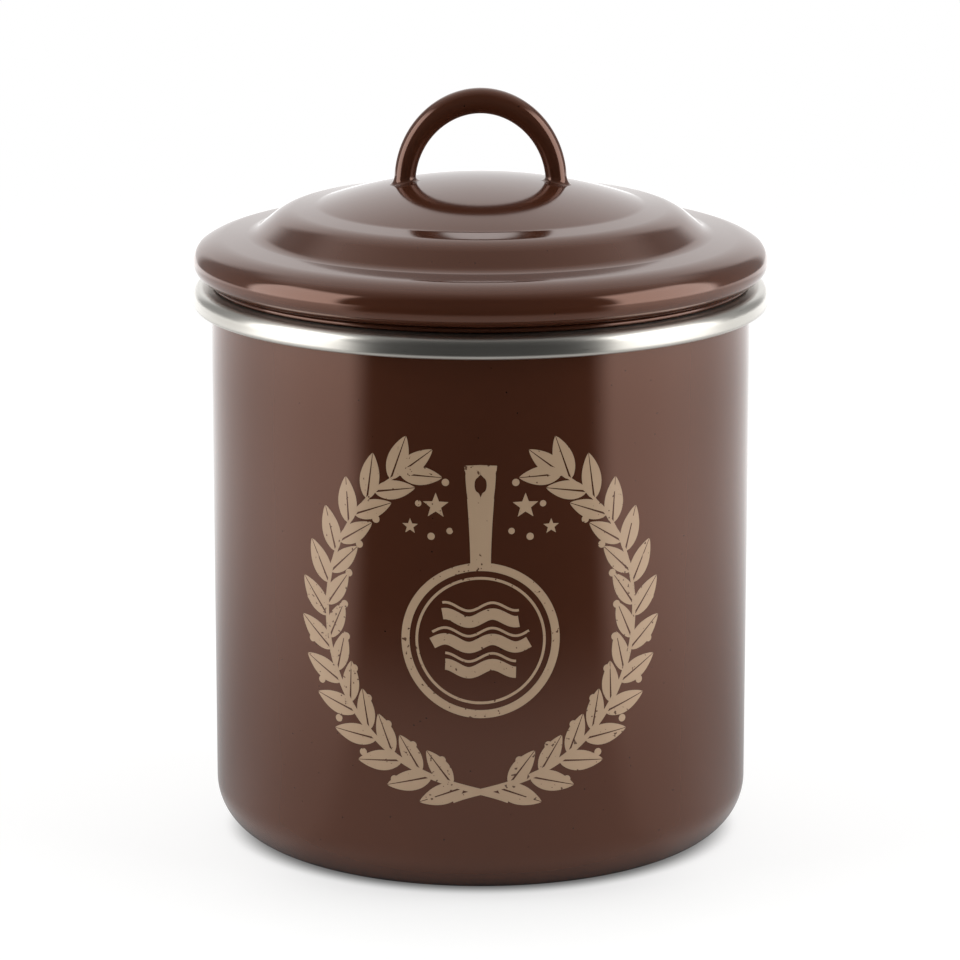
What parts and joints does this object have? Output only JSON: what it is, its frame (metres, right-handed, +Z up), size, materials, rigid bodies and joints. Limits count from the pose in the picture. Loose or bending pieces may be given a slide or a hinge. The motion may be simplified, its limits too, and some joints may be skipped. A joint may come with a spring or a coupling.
{
  "type": "grease canister",
  "caption": "Round enamelled canister with a steel rim band, a hanging strainer cup and a lift-off domed lid with a looped rod handle.",
  "frame": {"origin": "middle of the flat base, on the surface it stands on", "axes": "+Z up along the canister's axis, the printed side faces -Y, the handle runs along X"},
  "size_m": [0.128, 0.128, 0.1687],
  "materials": {
    "brown_enamel": "glossy vitreous enamel on pressed steel",
    "band_steel": "satin stainless steel",
    "strainer_steel": "bright drawn stainless steel"
  },
  "bodies": {
    "canister": {"canister_shell": "brown_enamel", "rim_band": "band_steel"},
    "strainer": {"strainer_cup": "brown_enamel", "strainer_screen": "strainer_steel", "screen_ring": "strainer_steel"},
    "lid": {"lid_shell": "brown_enamel", "lid_collar": "brown_enamel", "lid_handle": "brown_enamel"}
  },
  "joints": [
    {"name": "strainer_lift", "type": "slide", "parent": "canister", "child": "strainer", "axis": [0, 0, 1], "range_m": [0, 0.06]},
    {"name": "lid_lift", "type": "slide", "parent": "strainer", "child": "lid", "axis": [0, 0, 1], "range_m": [0, 0.06]}
  ]
}
